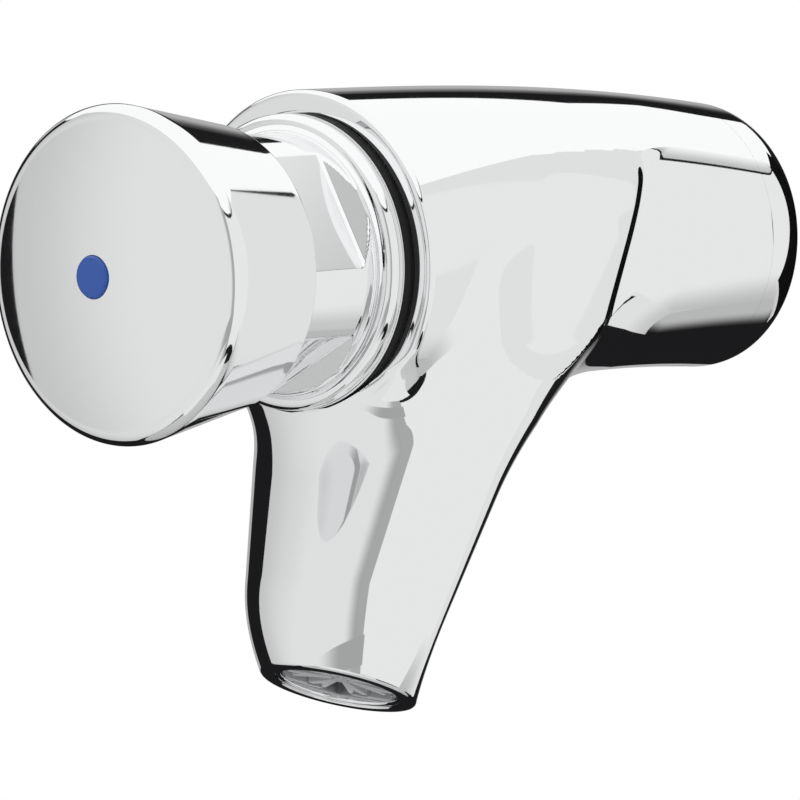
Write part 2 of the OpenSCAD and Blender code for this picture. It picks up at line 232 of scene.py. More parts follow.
def tubeWidth(back):
    share = np.clip(back / bodySize["length"], 0, 1)
    growth = np.maximum(share - flankSize["tubeStart"], 0) / (1 - flankSize["tubeStart"])
    gain = flankSize["wallWide"] - flankSize["waist"]
    return flankSize["waist"] + gain * growth ** flankSize["tubeCurve"]


def seamPlace(z):
    height = np.clip(z, flankSize["seamLow"], flankSize["seamHigh"])
    return flankSize["seamAt"] + flankSize["seamSlant"] * height


def barrelWidth(back, z):
    seam = seamPlace(z)
    tube, end = tubeWidth(back), tubeWidth(seam)
    above = ease((z - flankSize["seamTop"]) / flankSize["seamFade"])
    step = flankSize["step"] * (1 - above)
    front = bodyHeight + (end - bodyHeight) * back / seam
    front = front + step * ease((back - seam) / flankSize["reach"] + 1)
    ramp = end + step - flankSize["slope"] * (back - seam)
    dropped = softMin(front, ramp, flankSize["crease"]) * (1 - above) + front * above
    front = np.where(above < 1, dropped, front)
    return softMax(front, tube, flankSize["crease"] + flankSize["blend"] * above)


def barrelField(p):
    back = p[:, 1] + bodySize["length"]
    top, belly, square = barrelHeights(back)
    width = barrelWidth(back, p[:, 2])
    tall = np.where(p[:, 2] > 0, top, belly)
    ratio = ((np.abs(p[:, 0]) / width) ** square + (np.abs(p[:, 2]) / tall) ** square) ** (1 / square)
    reach = np.hypot(p[:, 0], p[:, 2])
    return reach - reach / np.maximum(ratio, 1e-6)


def spoutAxes(p):
    y, z = p[:, 1] - outletY, p[:, 2] - outletZ
    return p[:, 0], y * leanCos - z * leanSin, y * leanSin + z * leanCos


# The spout grows upwards from its round outlet, and swells or dips in its first stretch
spoutSize = {
    "radius": 12.0, "sideGrowth": 0.187, "frontGrowth": 0.092, "backGrowth": 0.174, "growthEnd": 46.0,
    "sideSwell": 1.8, "frontSwell": 3.2, "backDip": 6.0, "swellEnd": 13.0, "square": 0.4,
    "narrowFrom": 52.0, "narrowOver": 14.0, "narrowBy": 2.4, "leastWide": 6.0,
    "weight": 0.983, "top": 64.0, "topSoft": 10.0,
}


def bumpAt(h, reach):
    return np.where(h < reach, (1 - np.minimum(np.maximum(h, -1) / reach, 1)) ** 2, 0)


def spoutSizes(h):
    low = np.minimum(h, spoutSize["growthEnd"])
    swell = 1 - bumpAt(h, spoutSize["swellEnd"])
    narrow = np.maximum(h - spoutSize["narrowFrom"], 0) / spoutSize["narrowOver"]
    wide = spoutSize["radius"] + spoutSize["sideGrowth"] * low + spoutSize["sideSwell"] * swell
    wide = np.maximum(wide - spoutSize["narrowBy"] * narrow ** 2, spoutSize["leastWide"])
    front = spoutSize["radius"] + spoutSize["frontGrowth"] * low + spoutSize["frontSwell"] * swell
    back = spoutSize["radius"] + spoutSize["backGrowth"] * h - spoutSize["backDip"] * swell
    return wide, front, back, 2 + spoutSize["square"] * swell


def spoutField(p):
    x, v, h = spoutAxes(p)
    wide, front, back, square = spoutSizes(h)
    across, deep = np.abs(x) / wide, np.abs(v) / np.where(v > 0, back, front)
    ratio = (across ** square + deep ** square) ** (1 / square)
    reach = np.hypot(x, v)
    field = (reach - reach / np.maximum(ratio, 1e-6)) * spoutSize["weight"]
    return softMax(field, h - spoutSize["top"], spoutSize["topSoft"])


# Each pair is a place and the stretch over which the soft change is spread
blendSize = {
    "fillet": 7.0, "filletGain": 15.0, "filletAt": (-14.0, 32.0),
    "lift": 1.6, "liftAt": (17.0, 4.5), "round": 1.2, "roundGain": 8.0, "roundAt": (14.0, 9.0),
    "gap": 0.03, "gapGain": 6.0, "gapAt": (14.0, 20.0), "flankEdge": 0.3,
}


def spread(value, key):
    start, over = blendSize[key]
    return ease((value - start) / over)


def bodyField(p, sunk=True):
    back, drop = p[:, 1] + bodySize["length"], -p[:, 2]
    x, v, h = spoutAxes(p)
    barrel, spout = barrelField(p), spoutField(p)
    front, wall = -back - blendSize["lift"] * spread(drop, "liftAt"), back - bodySize["length"]
    fillet = blendSize["fillet"] + blendSize["filletGain"] * spread(v, "filletAt")
    if sunk:
        deep, lip, sink, over = (bodySize[k] for k in ("wallDepth", "lipHeight", "sink", "sinkOver"))
        barrel = barrel + sink * (1 - ease((bodySize["length"] - deep - back) / over))
        spout = np.maximum(spout + sink * (1 - ease((h - lip) / over)), lip - bodySize["lipOverlap"] - h)
        wall = np.maximum(wall, back - bodySize["length"] + deep - bodySize["wallOverlap"])
    edge = blendSize["round"] + blendSize["roundGain"] * spread(drop, "roundAt")
    barrel = np.maximum(softMax(barrel, front, edge), wall)
    gap = blendSize["gap"] + blendSize["gapGain"] * spread(drop, "gapAt")
    flank = np.abs(x) - barrelWidth(back, p[:, 2]) - gap
    return softMax(softMin(barrel, spout, fillet), flank, blendSize["flankEdge"])


def gradient(field, p, step=0.04):
    out = np.zeros_like(p)
    for axis in range(3):
        shift = np.zeros(3)
        shift[axis] = step
        out[:, axis] = (field(p + shift) - field(p - shift)) / (2 * step)
    return out


def unit(v):
    return v / np.maximum(np.linalg.norm(v, axis=1), 1e-9)[:, None]


# The two slices that pair each grid place with the next one along an axis
def neighbours(axis):
    a, b = [slice(None)] * 3, [slice(None)] * 3
    a[axis], b[axis] = slice(0, -1), slice(1, None)
    return tuple(a), tuple(b)


# A skin of quads where the field changes sign, with one point in each crossed cell
def skinOfField(field, low, high, cell, pieces=24):
    axes = [np.arange(a, b + cell, cell) for a, b in zip(low, high)]
    grid = np.stack(np.meshgrid(*axes, indexing="ij"), -1)
    size = grid.shape[:3]
    parts = np.array_split(grid.reshape(-1, 3), pieces)
    value = np.concatenate([field(part) for part in parts]).reshape(size)
    inside = value < 0
    total = np.zeros((size[0] - 1, size[1] - 1, size[2] - 1, 3))
    number = np.zeros(total.shape[:3])
    for axis in range(3):
        a, b = neighbours(axis)
        crossed = inside[a] != inside[b]
        share = np.where(crossed, value[a] / np.where(crossed, value[a] - value[b], 1), 0)
        point = grid[a] + share[..., None] * (grid[b] - grid[a])
        others = [k for k in range(3) if k != axis]
        for i in (0, 1):
            for j in (0, 1):
                pick = [slice(None)] * 3
                pick[others[0]] = slice(i, size[others[0]] - 1 + i)
                pick[others[1]] = slice(j, size[others[1]] - 1 + j)
                hit = crossed[tuple(pick)]
                total += point[tuple(pick)] * hit[..., None]
                number += hit
    active = number > 0
    index = np.full(active.shape, -1)
    index[active] = np.arange(active.sum())
    points = total[active] / number[active][:, None]
    faces = []
    for axis in range(3):
        a, b = neighbours(axis)
        others = [k for k in range(3) if k != axis]
        edge = np.argwhere(inside[a] != inside[b])
        keep = np.all((edge[:, others] > 0) & (edge[:, others] < np.array(size)[others] - 1), axis=1)
        edge = edge[keep]
        filled = inside[tuple(edge.T)]
        corners = []
        for i, j in ((-1, -1), (0, -1), (0, 0), (-1, 0)):
            cellAt = edge.copy()
            cellAt[:, others[0]] += i
            cellAt[:, others[1]] += j
            corners.append(index[tuple(cellAt.T)])
        quad = np.stack(corners, 1)
        turn = filled if axis != 1 else ~filled
        quad[~turn] = quad[~turn][:, ::-1]
        faces.append(quad)
    return points, np.concatenate(faces)


# The picked quads are cut in four
def splitQuads(points, quads, pick):
    chosen = quads[pick]
    pairs = np.sort(np.stack([chosen, np.roll(chosen, -1, 1)], 2).reshape(-1, 2), 1)
    pairs, where = np.unique(pairs, axis=0, return_inverse=True)
    side = len(points) + where.reshape(-1, 4)
    heart = len(points) + len(pairs) + np.arange(len(chosen))
    parts = [np.stack([chosen[:, i], side[:, i], heart, side[:, i - 1]], 1) for i in range(4)]
    points = np.concatenate([points, points[pairs].mean(1), points[chosen].mean(1)])
    return points, np.concatenate([quads[~pick]] + parts)


# Points are moved along the slope until they lie on the field's surface
def settle(field, points, turns, least=0.05):
    for turn in range(turns):
        slope = gradient(field, points)
        points = points - (field(points) / np.maximum((slope ** 2).sum(1), least))[:, None] * slope
    return points


def bodyRing(back, count):
    back = np.zeros(count) + back
    top, belly, square = barrelHeights(back)
    a = np.linspace(0, 2 * np.pi, count, endpoint=False)
    c, s = np.cos(a), np.sin(a)
    z = np.where(s > 0, top, belly) * np.sign(s) * np.abs(s) ** (2 / square)
    x = barrelWidth(back, z) * np.sign(c) * np.abs(c) ** (2 / square)
    return np.stack([x, back - bodySize["length"], z], 1)


def insetRing(ring, depth):
    reach = np.hypot(ring[:, 0], ring[:, 2])
    out = ring.copy()
    out[:, 0] *= 1 - depth / reach
    out[:, 2] *= 1 - depth / reach
    return out


# A ring about the button's axis, with one radius or a radius for each of its points
def roundRing(radius, reach, count):
    a = np.linspace(0, 2 * np.pi, count, endpoint=False)
    return np.stack([radius * np.cos(a), np.full(count, -reach), radius * np.sin(a)], 1)


# Sharp steps of round rings, added to points and faces that are there already
def addSteps(points, faces, steps, count):
    for (r0, s0), (r1, s1) in zip(steps, steps[1:]):
        faces += skinFaces(2, count, len(points))
        points = np.concatenate([points, roundRing(r0, s0, count), roundRing(r1, s1, count)])
    return points


bodyParts = []


def addRings(rings, flip=False, smoothField=None):
    count = len(rings[0])
    points = np.concatenate(rings)
    faces = skinFaces(len(rings), count, 0, flip)
    bodyParts.append((points, faces, smoothField))


gridSize = {"half": 27.5, "ahead": 13.0, "below": 9.0, "behind": 1.0}
low = np.array([-gridSize["half"], -bodySize["length"] - gridSize["ahead"], outletZ - gridSize["below"]])
high = np.array([gridSize["half"], gridSize["behind"], gridSize["half"]])
skinPoints, skinQuads = skinOfField(bodyField, low, high, bodySize["cell"])
skinPoints = settle(bodyField, skinPoints, 5)

# The front rim and the seam get smaller cells than the rest
fineSize = {
    "frontTo": (2.8, 2.2), "rimInside": 2.0, "rimOutside": 31.0,
    "flankFrom": 10.0, "seamMiddle": -4.0, "seamHalf": 19.0, "seamFrom": -0.9, "seamTo": 3.2, "seamLevels": 2,
}


def refine(points, quads, pick):
    points, quads = splitQuads(points, quads, pick)
    return settle(bodyField, points, 3), quads


for level in fineSize["frontTo"]:
    middle = skinPoints[skinQuads].mean(1)
    outer = np.hypot(middle[:, 0], middle[:, 2])
    rim = (outer > bodySize["recess"] - fineSize["rimInside"]) & (outer < fineSize["rimOutside"])
    skinPoints, skinQuads = refine(skinPoints, skinQuads, rim & (middle[:, 1] + bodySize["length"] < level))
for level in range(fineSize["seamLevels"]):
    middle = skinPoints[skinQuads].mean(1)
    past = middle[:, 1] + bodySize["length"] - seamPlace(middle[:, 2])
    flanks = np.abs(middle[:, 0]) > fineSize["flankFrom"]
    flanks &= np.abs(middle[:, 2] - fineSize["seamMiddle"]) < fineSize["seamHalf"]
    flanks &= (past > fineSize["seamFrom"]) & (past < fineSize["seamTo"])
    skinPoints, skinQuads = refine(skinPoints, skinQuads, flanks)
corners = skinPoints[skinQuads]
middle = corners.mean(1)
facing = unit(np.cross(corners[:, 2] - corners[:, 0], corners[:, 3] - corners[:, 1]))
if (facing * gradient(bodyField, middle)).sum(1).mean() < 0:
    skinQuads = skinQuads[:, ::-1]

# Faces are taken off where the recess, the wall end and the outlet lip are made from rings
openSize = {"front": 0.9, "near": 0.25, "upright": 0.9, "pull": 0.16}
backs = middle[:, 1] + bodySize["length"]
radii = np.hypot(middle[:, 0], middle[:, 2])
heights = spoutAxes(middle)[2]
wallCut = bodySize["length"] - bodySize["wallDepth"] + bodySize["wallOverlap"]
lipCut = bodySize["lipHeight"] - bodySize["lipOverlap"]
opened = (backs < openSize["front"]) & (radii < bodySize["recess"])
opened |= (np.abs(backs - wallCut) < openSize["near"]) & (np.abs(facing[:, 1]) > openSize["upright"])
opened |= np.abs(heights - lipCut) < openSize["near"]
skinQuads = skinQuads[~opened]


# Points slide along Y only until they lie on the body's surface
def slideToField(points, turns, limit, least=0.2):
    for turn in range(turns):
        slope = gradient(bodyField, points)[:, 1]
        slope = np.where(np.abs(slope) < least, -least, slope)
        points[:, 1] -= np.clip(bodyField(points) / slope, -limit, limit)
    return points


edgeOf = np.hypot(skinPoints[:, 0], skinPoints[:, 2])
nearEdge = np.abs(edgeOf - bodySize["recess"]) < openSize["pull"] * bodySize["cell"]
nearEdge &= skinPoints[:, 1] + bodySize["length"] < openSize["front"]
moved = skinPoints[nearEdge]
moved[:, [0, 2]] *= (bodySize["recess"] / edgeOf[nearEdge])[:, None]
skinPoints[nearEdge] = slideToField(moved, 6, 0.3)
bodyParts.append((skinPoints, [tuple(q) for q in skinQuads], lambda p: bodyField(p, False)))
print("body skin", len(skinQuads), "faces")

# Seal recess and bores, then the wall end with a soft edge that is widest at the sides
count = 192
boreSize = {
    "seal": 22.7, "sealDepth": 0.5, "thread": 18.02, "threadEnd": 80.0, "chamber": 16.5, "webFront": 51.0,
    "seat": 9.5, "webBack": 45.5, "valve": 13.0, "valveEnd": 29.45, "inlet": 7.5, "socketEnd": 14.0,
    "socket": 10.5, "edge": 0.3,
}
length = bodySize["length"]
sealReach = length - boreSize["sealDepth"]
mouth = slideToField(roundRing(bodySize["recess"], length, 4 * count), 8, 0.4)
addRings([mouth, roundRing(boreSize["seal"], sealReach, 4 * count)])
steps = [
    (boreSize["seal"], sealReach), (boreSize["thread"], sealReach),
    (boreSize["thread"], boreSize["threadEnd"]), (boreSize["chamber"], boreSize["threadEnd"]),
    (boreSize["chamber"], boreSize["webFront"]), (boreSize["seat"], boreSize["webFront"]),
    (boreSize["seat"], boreSize["webBack"]), (boreSize["valve"], boreSize["webBack"]),
    (boreSize["valve"], boreSize["valveEnd"]), (boreSize["inlet"], boreSize["valveEnd"]),
    (boreSize["inlet"], boreSize["socketEnd"]), (boreSize["socket"], boreSize["socketEnd"]),
    (boreSize["socket"], boreSize["edge"]), (boreSize["socket"] + boreSize["edge"], 0.0),
]
for (r0, s0), (r1, s1) in zip(steps, steps[1:]):
    addRings([roundRing(r0, s0, count), roundRing(r1, s1, count)])
wallSize = {"inset": 0.5, "sideInset": 1.9, "length": 1.4, "sideLength": 4.8, "rows": 25}
sideways = np.cos(np.linspace(0, 2 * np.pi, count, endpoint=False)) ** 2
wallInset = wallSize["inset"] + wallSize["sideInset"] * sideways
wallLength = wallSize["length"] + wallSize["sideLength"] * sideways
wallRings = []
for t in np.radians(np.linspace(90, 0, wallSize["rows"])):
    ring = bodyRing(length - wallLength * (1 - math.sin(t)), count)
    wallRings.append(insetRing(ring, wallInset * (1 - math.cos(t))))
addRings([roundRing(boreSize["socket"] + boreSize["edge"], 0, count), wallRings[0]])
for part in (0.25, 0.5, 0.75, 1):
    wallRings.append(bodyRing(length - wallLength - (bodySize["wallDepth"] - wallLength) * part, count))
addRings(wallRings)


# Outlet lip and the way up into the body
def onSpout(x, v, h):
    return np.stack([x, outletY + v * leanCos + h * leanSin, outletZ - v * leanSin + h * leanCos], 1)


def spoutRing(h, count, inset=0.0):
    wide, front, back, square = (float(s) for s in spoutSizes(np.float64(h)))
    a = np.linspace(0, 2 * np.pi, count, endpoint=False)
    c, s = np.cos(a), np.sin(a)
    x = (wide - inset) * np.sign(c) * np.abs(c) ** (2 / square)
    v = np.where(s > 0, back - inset, front - inset) * np.sign(s) * np.abs(s) ** (2 / square)
    return onSpout(x, v, np.full(count, h))


def lipRing(radius, h, count):
    a = np.linspace(0, 2 * np.pi, count, endpoint=False)
    return onSpout(radius * np.cos(a), radius * np.sin(a), np.full(count, h))


lipSize = {"socket": 9.8, "socketEdge": 0.15, "deep": 12.25, "passage": 7.2, "top": 52.0, "edge": 0.45}
lipEdge = lipSize["edge"]
addRings([spoutRing(h, count) for h in np.linspace(bodySize["lipHeight"], lipEdge, 16)], True, spoutField)
lipRound = []
for t in np.radians(np.linspace(0, 90, 8)):
    lipRound.append(spoutRing(lipEdge - lipEdge * math.sin(t), count, lipEdge * (1 - math.cos(t))))
addRings(lipRound, True)
lipSteps = [
    (lipSize["socket"] + lipSize["socketEdge"], 0), (lipSize["socket"], lipSize["socketEdge"]),
    (lipSize["socket"], lipSize["deep"]), (lipSize["passage"], lipSize["deep"]),
    (lipSize["passage"], lipSize["top"]),
]
addRings([lipRound[-1], lipRing(*lipSteps[0], count)], True)
for (r0, h0), (r1, h1) in zip(lipSteps, lipSteps[1:]):
    addRings([lipRing(r0, h0, count), lipRing(r1, h1, count)], True)

allPoints, allFaces, fixed = [], [], []
for points, faces, smoothField in bodyParts:
    start = sum(len(p) for p in allPoints)
    allFaces += [tuple(i + start for i in f) for f in faces]
    allPoints.append(points)
    fixed.append(unit(gradient(smoothField, points)) if smoothField else np.full((len(points), 3), np.nan))
allPoints = np.concatenate(allPoints)
fixed = np.concatenate(fixed)
body = makeObject("bodyShell", allPoints, allFaces, bodyChrome)
plain = np.zeros(len(allPoints) * 3)
body.data.vertex_normals.foreach_get("vector", plain)
plain = plain.reshape(-1, 3)
normals = np.where(np.isnan(fixed), plain, fixed)
body.data.normals_split_custom_set_from_vertices([tuple(n) for n in normals])
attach(body, "tap")
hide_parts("body")
print("body", len(allPoints), "points")

# Push button as one turned piece with a domed face
buttonSize = {
    "wide": 25.0, "wideAt": 133.0, "dome": 80.0, "edge": 2.2,
    "rear": 113.9, "rearRadius": 21.6, "rearEdge": 0.5,
    "hole": 3.12, "holeEdge": 0.12, "seat": 5.0, "screw": 2.2, "spigot": 4.02, "spigotDeep": 6.2,
    "hub": 8.0, "hubRear": 125.0, "hubTop": 1.2, "roof": 13.0, "roofRise": 0.5, "shoulder": 22.0,
    "inner": 20.0,
}
edgeR = buttonSize["wide"] - buttonSize["edge"]
sag = buttonSize["dome"] - math.sqrt(buttonSize["dome"] ** 2 - edgeR ** 2)
buttonTop = buttonSize["wideAt"] + buttonSize["edge"] + sag
domeRows = []
for r in np.linspace(edgeR, buttonSize["hole"] + buttonSize["holeEdge"], 60):
    domeRows.append((r, buttonTop - buttonSize["dome"] + math.sqrt(buttonSize["dome"] ** 2 - r * r)))
rimRows = arcPoints(edgeR, buttonSize["wideAt"], buttonSize["edge"], 0, 90, 20)
skirtR = buttonSize["rearRadius"] - buttonSize["rearEdge"]
skirtAt = buttonSize["rear"] + buttonSize["rearEdge"]
sideRows = []
for t in np.linspace(1, 0, 14):
    sideR = buttonSize["wide"] + (buttonSize["rearRadius"] - buttonSize["wide"]) * t
    sideRows.append((sideR, buttonSize["wideAt"] + (skirtAt - buttonSize["wideAt"]) * t))
rearRows = arcPoints(skirtR, skirtAt, buttonSize["rearEdge"], -90, 0, 6)
holeTop = domeRows[-1][1]
seatAt = buttonTop - buttonSize["seat"]
spigotEnd = buttonSize["hubRear"] + buttonSize["spigotDeep"]
insideRows = [
    (buttonSize["hole"] + buttonSize["holeEdge"], holeTop),
    (buttonSize["hole"], holeTop - buttonSize["holeEdge"]),
    (buttonSize["hole"], seatAt), (buttonSize["screw"], seatAt),
    (buttonSize["screw"], spigotEnd), (buttonSize["spigot"], spigotEnd),
    (buttonSize["spigot"], buttonSize["hubRear"]), (buttonSize["hub"], buttonSize["hubRear"]),
    (buttonSize["hub"], seatAt - buttonSize["hubTop"]),
    (buttonSize["roof"], buttonSize["wideAt"] + buttonSize["roofRise"]),
    (buttonSize["shoulder"], buttonSize["wideAt"]),
    (buttonSize["inner"], buttonSize["rear"]), (skirtR, buttonSize["rear"]),
]
stretches = [rearRows + sideRows[1:] + rimRows[1:] + domeRows[1:]] + sharpTurn(insideRows)
button = turnedObject("pushButton", stretches, 192, headChrome)
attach(button, "plunger")
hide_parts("button")
print("button", len(button.data.vertices), "points")

# Bonnet with four wrench flats that run out in a slope before the flange
bonnetSize = {
    "round": 19.6, "across": 34.0, "turn": 25.0, "flatSpan": 1.2, "flatEdge": 0.12, "noFlat": 99.0,
    "flatsRear": 101.4, "runOut": 1.05, "front": 115.5, "frontEdge": 1.0, "count": 720,
    "flange": 22.4, "flangeRear": 95.7, "flangeFront": 98.9, "flangeEdge": 0.15, "flangeRound": 1.5,
    "flangeClear": 9.0, "clearTo": 0.05, "foot": 0.45, "footSink": 0.1, "flatsNear": (0.1, 0.3),
    "bush": 8.0, "bushRear": 101.2, "groove": 8.8, "grooveRear": 113.0, "grooveFront": 114.3, "stem": 5.3,
    "cylinder": 12.5, "cylinderFront": 95.2, "tail": 14.5, "tailRear": 67.0, "tailEdge": 0.5,
    "thread": 18.0, "threadRear": 81.0, "threadEdge": 1.0, "insideCount": 180,
}


def bonnetRow(reach, radius):
    a = np.linspace(0, 2 * np.pi, bonnetSize["count"], endpoint=False)
    out = np.full(len(a), radius)
    flat = bonnetSize["across"] / 2 + max(0.0, bonnetSize["flatsRear"] - reach) * bonnetSize["runOut"]
    if reach < bonnetSize["flangeFront"] + bonnetSize["clearTo"]:
        flat += bonnetSize["flangeClear"]
    for i in range(4):
        off = np.angle(np.exp(1j * (a - math.radians(bonnetSize["turn"] + 90 * i))))
        near = np.abs(off) < bonnetSize["flatSpan"]
        limit = np.where(near, flat / np.cos(np.where(near, off, 0)), bonnetSize["noFlat"])
        out = softMin(out, limit, bonnetSize["flatEdge"])
    return roundRing(out, reach, bonnetSize["count"])


flange, flangeRear, flangeFront = (bonnetSize[k] for k in ("flange", "flangeRear", "flangeFront"))
flangeRound, foot, flatsRear = (bonnetSize[k] for k in ("flangeRound", "foot", "flatsRear"))
footR, footAt = bonnetSize["round"] + foot, flangeFront - bonnetSize["footSink"]
flatsStart, flatsNext = (flatsRear + s for s in bonnetSize["flatsNear"])
frontR, frontAt = bonnetSize["round"] - bonnetSize["frontEdge"], bonnetSize["front"] - bonnetSize["frontEdge"]
bonnetRows = [(flange - bonnetSize["flangeEdge"], flangeRear)]
bonnetRows += [(flange, flangeRear + bonnetSize["flangeEdge"]), (flange, flangeRear + flangeRound)]
bonnetRows += arcPoints(flange - flangeRound, flangeRear + flangeRound, flangeRound, 10, 78, 10)
bonnetRows += [(footR, footAt)]
bonnetRows += arcPoints(footR, footAt + foot, foot, 270, 180, 5)
bonnetRows += [(bonnetSize["round"], s) for s in np.linspace(flangeFront + foot, flatsStart, 10)]
bonnetRows += [(bonnetSize["round"], s) for s in np.linspace(flatsNext, frontAt, 24)]
bonnetRows += [(frontR, bonnetSize["front"])]
points = np.concatenate([bonnetRow(s, r) for r, s in bonnetRows])
faces = skinFaces(len(bonnetRows), bonnetSize["count"])
points = addSteps(points, faces, [
    (frontR, bonnetSize["front"]), (bonnetSize["bush"], bonnetSize["front"]),
    (bonnetSize["bush"], bonnetSize["grooveFront"]), (bonnetSize["groove"], bonnetSize["grooveFront"]),
    (bonnetSize["groove"], bonnetSize["grooveRear"]), (bonnetSize["bush"], bonnetSize["grooveRear"]),
    (bonnetSize["bush"], bonnetSize["bushRear"]), (bonnetSize["stem"], bonnetSize["bushRear"]),
    (bonnetSize["stem"], bonnetSize["cylinderFront"]), (bonnetSize["cylinder"], bonnetSize["cylinderFront"]),
    (bonnetSize["cylinder"], bonnetSize["tailRear"] + bonnetSize["tailEdge"]),
    (bonnetSize["cylinder"] + bonnetSize["tailEdge"], bonnetSize["tailRear"]),
    (bonnetSize["tail"], bonnetSize["tailRear"]), (bonnetSize["tail"], bonnetSize["threadRear"]),
    (bonnetSize["thread"] - bonnetSize["threadEdge"], bonnetSize["threadRear"]),
    (bonnetSize["thread"], bonnetSize["threadRear"] + bonnetSize["threadEdge"]),
    (bonnetSize["thread"], flangeRear), (flange - bonnetSize["flangeEdge"], flangeRear),
], bonnetSize["insideCount"])
bonnet = makeObject("bonnetHead", points, faces, headChrome)
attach(bonnet, "tap")
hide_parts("bonnet")
print("bonnet", len(points), "points")

# Rubber seal under the flange, with rounded edges
sealSize = {"inner": 18.25, "outer": 22.4, "rear": 93.5, "front": 95.7, "edge": 0.35}
edge = sealSize["edge"]
sealRows = arcPoints(sealSize["outer"] - edge, sealSize["rear"] + edge, edge, -90, 0, 5)
sealRows += arcPoints(sealSize["outer"] - edge, sealSize["front"] - edge, edge, 0, 90, 5)
sealRows += arcPoints(sealSize["inner"] + edge, sealSize["front"] - edge, edge, 90, 180, 5)
sealRows += arcPoints(sealSize["inner"] + edge, sealSize["rear"] + edge, edge, 180, 270, 5)
flangeSeal = turnedObject("flangeSeal", [sealRows + sealRows[:1]], 192, blackRubber)
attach(flangeSeal, "tap")
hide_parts("bonnet_seal")

# Blue marker, a small domed plug in the middle of the button
markerSize = {"radius": 3.1, "rear": 136.12, "front": 139.12, "edge": 0.45, "dome": 0.12}
edge = markerSize["edge"]
markerTop = markerSize["front"] - markerSize["dome"]
domeR = markerSize["radius"] - edge
markerRear = [(0, markerSize["rear"]), (markerSize["radius"], markerSize["rear"])]
markerRows = markerRear[1:] + arcPoints(domeR, markerTop - edge, edge, 0, 84, 8)
for r in np.linspace(domeR, 0, 9):
    markerRows.append((r, markerSize["front"] - markerSize["dome"] * (r / domeR) ** 2))
blueMarker = turnedObject("blueMarker", [markerRear, markerRows], 96, bluePlastic)
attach(blueMarker, "plunger")
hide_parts("marker")

# Inlet nipple with a G 1/2 thread of the right pitch, cut by a relief groove at the wall face
nippleSize = {
    "bore": 7.0, "cup": 7.8, "cupEnd": -8.0, "rear": -14.0, "front": 12.0, "outer": 10.48, "deep": 1.0,
    "pitch": 1.814, "flankRise": 1.3, "rootFlat": 0.15, "relief": 9.68, "reliefEnd": 1.2,
    "count": 96, "rows": 190,
}
nippleRear, nippleFront = nippleSize["rear"], nippleSize["front"]
around = np.linspace(0, 2 * np.pi, nippleSize["count"], endpoint=False)
root = nippleSize["outer"] - nippleSize["deep"]
threadRings = []
for reach in np.linspace(nippleRear, nippleFront, nippleSize["rows"]):
    phase = np.mod(reach / nippleSize["pitch"] + around / (2 * np.pi), 1)
    rise = nippleSize["flankRise"] * np.abs(2 * phase - 1) - nippleSize["rootFlat"]
    radius = root + nippleSize["deep"] * np.clip(rise, 0, 1)
    radius = np.minimum(radius, root + min(reach - nippleRear, nippleFront - reach))
    if 0 <= reach <= nippleSize["reliefEnd"]:
        radius = np.minimum(radius, nippleSize["relief"])
    threadRings.append(roundRing(radius, reach, nippleSize["count"]))
points = np.concatenate(threadRings)
faces = skinFaces(nippleSize["rows"], nippleSize["count"])
points = addSteps(points, faces, [
    (root, nippleFront), (nippleSize["bore"], nippleFront), (nippleSize["bore"], nippleSize["cupEnd"]),
    (nippleSize["cup"], nippleSize["cupEnd"]), (nippleSize["cup"], nippleRear), (root, nippleRear),
], nippleSize["count"])
nipple = makeObject("inletNipple", points, faces, brassMetal)
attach(nipple, "tap")
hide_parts("inlet_nipple")
print("seal, marker and nipple")


# Geometry Nodes for what repeats or follows a path, turned into plain meshes
def nodeTree(name, inputs):
    tree = bpy.data.node_groups.new(name, "GeometryNodeTree")
    for label, kind in inputs:
        tree.interface.new_socket(label, in_out="INPUT", socket_type="NodeSocket" + kind)
    tree.interface.new_socket("Geometry", in_out="OUTPUT", socket_type="NodeSocketGeometry")
    return tree, addNode(tree, "NodeGroupInput"), addNode(tree, "NodeGroupOutput")


def finishTree(tree, geometry, mat, out):
    realize = addNode(tree, "GeometryNodeRealizeInstances")
    paint = addNode(tree, "GeometryNodeSetMaterial")
    paint.inputs["Material"].default_value = mat
    tree.links.new(geometry, realize.inputs["Geometry"])
    tree.links.new(realize.outputs["Geometry"], paint.inputs["Geometry"])
    tree.links.new(paint.outputs["Geometry"], out.inputs["Geometry"])


def bakeNodes(obj, tree, values):
    modifier = obj.modifiers.new(tree.name, "NODES")
    modifier.node_group = tree
    for socket in tree.interface.items_tree:
        if socket.in_out == "INPUT" and socket.name in values:
            modifier[socket.identifier] = values[socket.name]
    mesh = bpy.data.meshes.new_from_object(obj.evaluated_get(bpy.context.evaluated_depsgraph_get()))
    obj.modifiers.clear()
    obj.data = mesh
    mesh.name = obj.name


# Return spring, a wire swept along a spiral that the button squeezes
springSize = {
    "radius": 9.3, "wire": 0.8, "turns": 7.0, "rear": 54.3, "front": 81.9, "fixedEnd": 53.5, "keep": 0.726,
    "turnPoints": 72, "wirePoints": 16,
}
springInputs = [(label, "Float") for label in ("Radius", "Wire", "Turns", "Height", "Rear")]
tree, given, out = nodeTree("springWire", springInputs)
spiral = addNode(tree, "GeometryNodeCurveSpiral")
spiral.inputs["Resolution"].default_value = springSize["turnPoints"]
wire = addNode(tree, "GeometryNodeCurvePrimitiveCircle")
wire.inputs["Resolution"].default_value = springSize["wirePoints"]
sweep = addNode(tree, "GeometryNodeCurveToMesh")
sweep.inputs["Fill Caps"].default_value = True
smooth = addNode(tree, "GeometryNodeSetShadeSmooth")
lie = addNode(tree, "GeometryNodeTransform")
lie.inputs["Rotation"].default_value = (math.pi / 2, 0, 0)
shift = addNode(tree, "ShaderNodeCombineXYZ")
tree.links.new(given.outputs["Radius"], spiral.inputs["Start Radius"])
tree.links.new(given.outputs["Radius"], spiral.inputs["End Radius"])
tree.links.new(given.outputs["Turns"], spiral.inputs["Rotations"])
